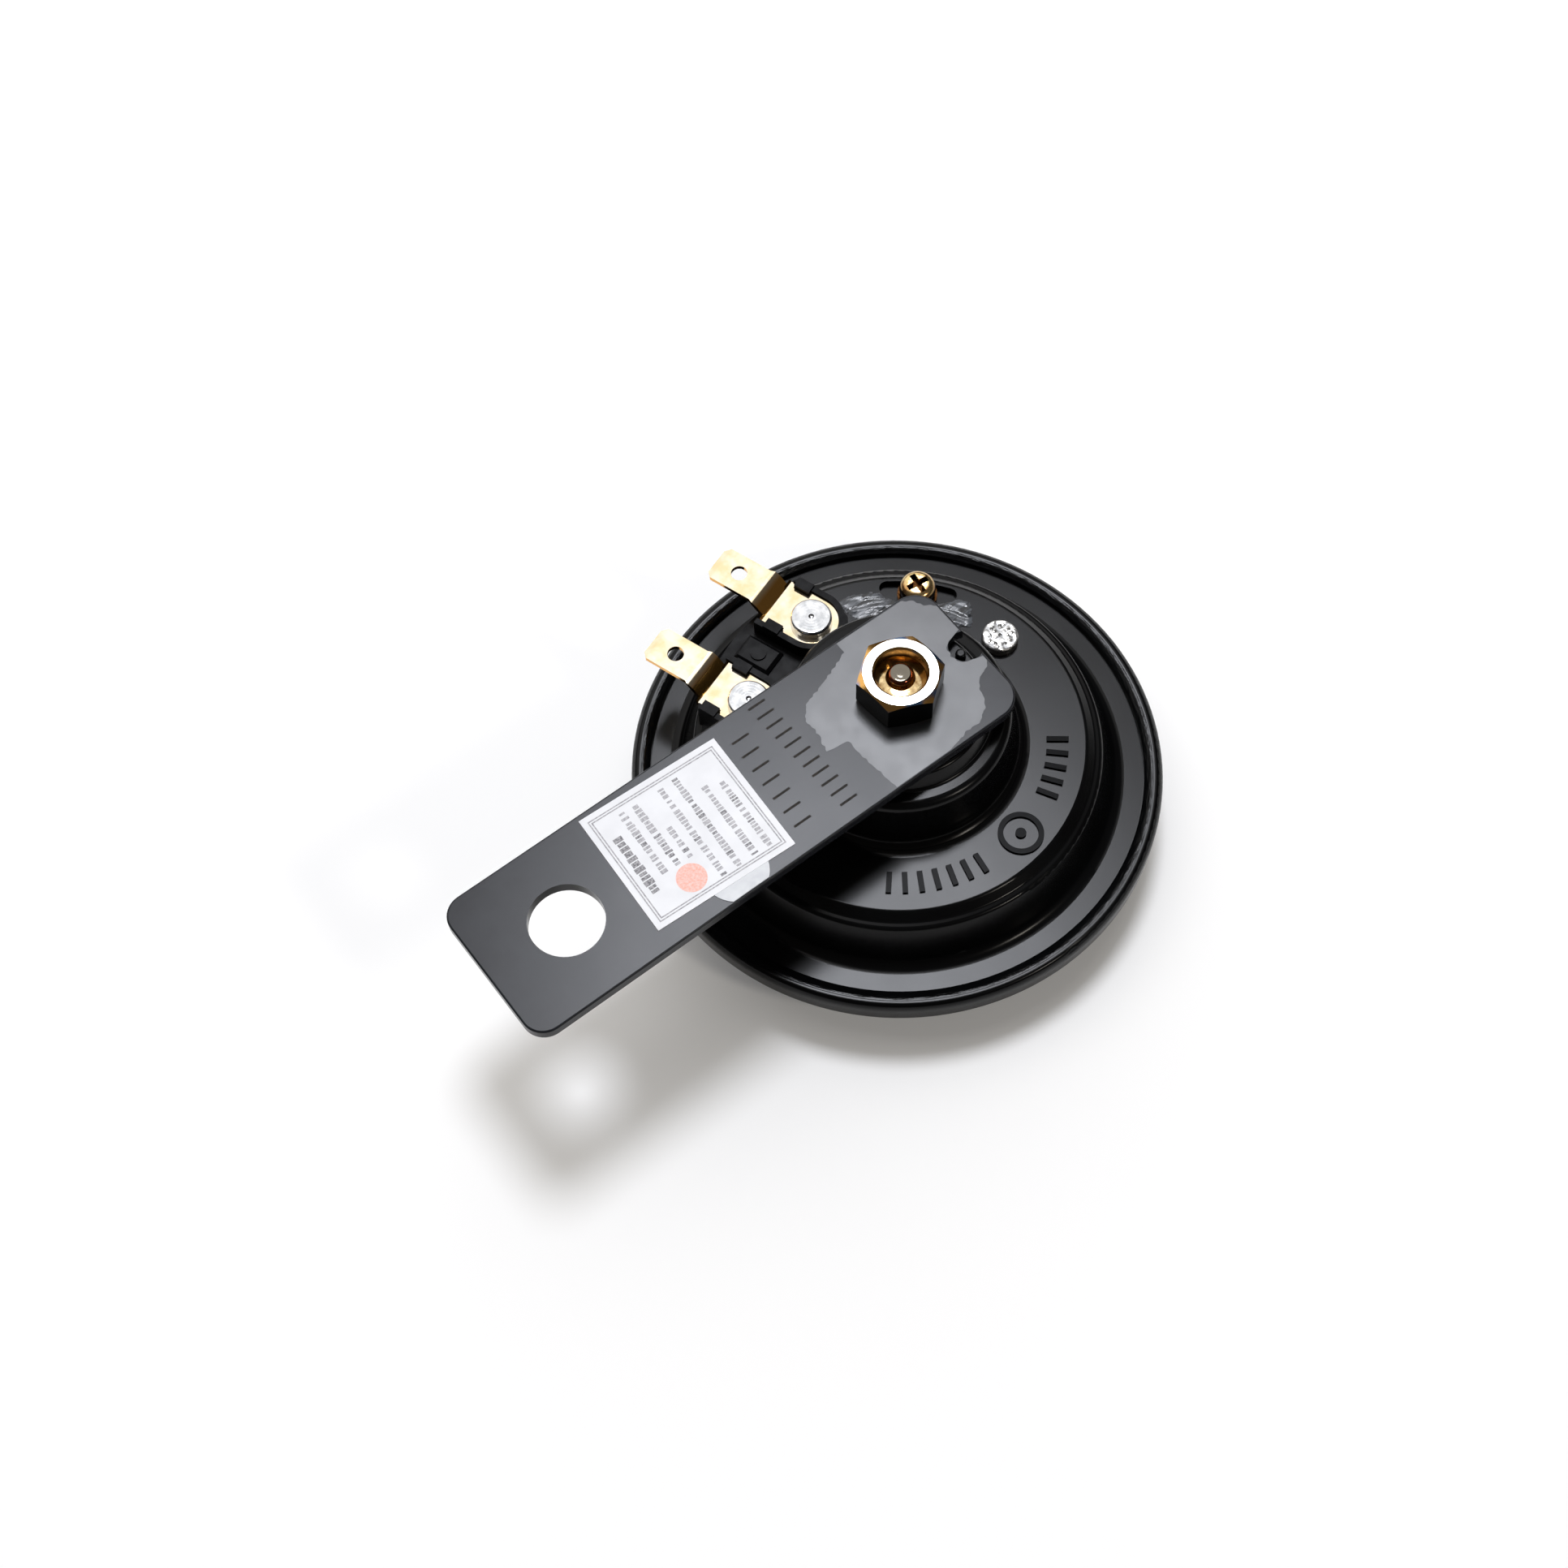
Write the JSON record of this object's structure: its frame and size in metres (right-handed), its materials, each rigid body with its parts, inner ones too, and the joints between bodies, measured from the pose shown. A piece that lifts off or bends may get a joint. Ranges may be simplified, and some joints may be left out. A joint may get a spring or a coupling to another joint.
{
  "type": "car horn",
  "caption": "Round disc horn with a crimped black steel housing, a flat strip bracket clamped by a hexagon nut, push-on terminals and a sealed adjusting screw.",
  "frame": {"origin": "centre of the front cover's flat middle, on the plane that the horn rests on, sound side down", "axes": "+Z from the sound side to the bracket and nut, along the stud; the bracket lies along X with its free end towards -X; the terminals point roughly towards +Y"},
  "size_m": [0.1193, 0.086, 0.0409],
  "materials": {
    "housing_paint": "satin black enamel on drawn steel",
    "cover_paint": "satin black enamel on pressed steel",
    "bracket_paint": "bluish grey coating, semi-gloss",
    "label_film": "satin white film",
    "seal_film": "thin milky film",
    "nut_plate": "bright zinc plate",
    "stud_steel": "yellow passivated steel",
    "block_plastic": "moulded phenolic, dull",
    "bobbin_plastic": "moulded nylon",
    "insulating_board": "laminated board",
    "tab_brass": "pale plated brass",
    "tag_brass": "stamped brass",
    "rivet_steel": "bright plated steel",
    "breaker_plate": "dull zinc plate",
    "adjuster_plate": "yellow zinc plate",
    "sealant_lacquer": "thin glossy lacquer",
    "gasket_rubber": "flat sheet rubber",
    "diaphragm_steel": "rolled spring steel",
    "plain_steel": "turned or pressed steel",
    "contact_metal": "ground contact metal",
    "wire_enamel": "enamelled copper wire"
  },
  "bodies": {
    "root": {"front_cover": "cover_paint", "front_gasket": "gasket_rubber", "diaphragm": "diaphragm_steel", "rear_gasket": "gasket_rubber", "rear_housing": "housing_paint", "core_stud": "stud_steel", "coil_bobbin": "bobbin_plastic", "coil_winding": "wire_enamel", "armature": "plain_steel", "front_washer": "plain_steel", "tone_disc_spacer": "plain_steel", "tone_disc": "plain_steel", "armature_nut": "plain_steel", "bracket": "bracket_paint", "mount_nut": "nut_plate", "bracket_label": "label_film", "seal_sticker": "seal_film", "terminal_block": "block_plastic", "terminal_insulator": "insulating_board", "contact_carrier": "plain_steel", "contact_spring": "diaphragm_steel", "fixed_contact_point": "contact_metal", "moving_contact_point": "contact_metal", "breaker_insulators": "insulating_board", "breaker_washer": "plain_steel", "breaker_rivet": "breaker_plate", "adjuster_bush": "adjuster_plate", "adjusting_screw": "adjuster_plate", "adjuster_sealant": "sealant_lacquer", "coil_lead_1": "wire_enamel", "coil_lead_2": "wire_enamel", "supply_lead": "wire_enamel", "terminal_1": "tab_brass", "terminal_2": "tab_brass", "terminal_rivet_1": "rivet_steel", "terminal_rivet_2": "rivet_steel", "connection_tag_1": "tag_brass", "connection_tag_2": "tag_brass"}
  },
  "joints": []
}
